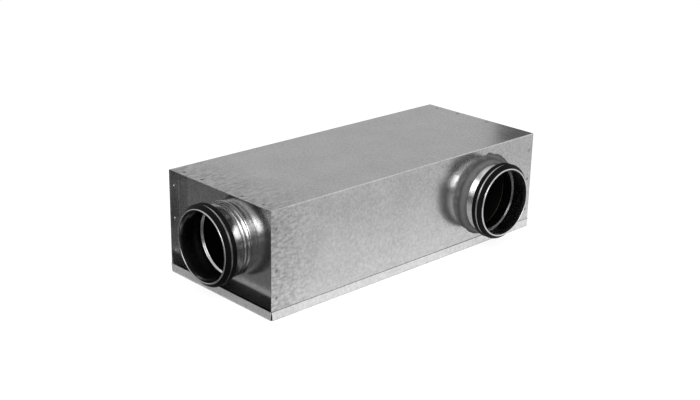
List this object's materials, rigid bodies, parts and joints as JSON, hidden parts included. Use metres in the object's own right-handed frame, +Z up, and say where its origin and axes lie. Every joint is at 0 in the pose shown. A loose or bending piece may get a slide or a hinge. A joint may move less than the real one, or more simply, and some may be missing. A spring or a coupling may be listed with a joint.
{
  "type": "duct sound attenuator",
  "caption": "Low rectangular sheet-steel attenuator lined with mineral wool, with a round sealed spigot in one end and another at the far end of one long side.",
  "frame": {"origin": "centre of the underside of the casing, on the surface that it rests on", "axes": "+X along the casing from the spigot end to the closed end, +Z up, and the side spigot points along -Y"},
  "size_m": [0.6725, 0.3185, 0.184],
  "materials": {
    "galvanised_sheet": "hot-dip galvanised steel sheet, fine mottled spangle, semi-gloss",
    "spigot_steel": "rolled galvanised steel, brighter than the casing",
    "strap_steel": "thin bright steel strap",
    "seal_rubber": "black EPDM rubber, satin",
    "duct_sealant": "grey hand-smoothed duct sealant, matte",
    "mineral_wool": "pressed mineral-wool slab",
    "glass_tissue": "black glass-fibre tissue facing",
    "pin_steel": "dull plated steel"
  },
  "bodies": {
    "root": {"casing_cover": "galvanised_sheet", "base_pan": "galvanised_sheet", "near_end_plate": "galvanised_sheet", "far_end_plate": "galvanised_sheet", "end_spigot": "spigot_steel", "end_seal": "seal_rubber", "end_seal_strap": "strap_steel", "side_spigot": "spigot_steel", "side_collar": "spigot_steel", "side_seal": "seal_rubber", "side_seal_strap": "strap_steel", "side_sealant": "duct_sealant", "absorber_front": "mineral_wool", "absorber_rear": "mineral_wool", "absorber_top": "mineral_wool", "absorber_bottom": "mineral_wool", "absorber_far_end": "mineral_wool", "facing_front": "glass_tissue", "facing_rear": "glass_tissue", "facing_top": "glass_tissue", "facing_bottom": "glass_tissue", "facing_far_end": "glass_tissue", "side_lining_pins": "pin_steel", "flat_lining_pins": "pin_steel", "lining_washers": "pin_steel"}
  },
  "joints": []
}
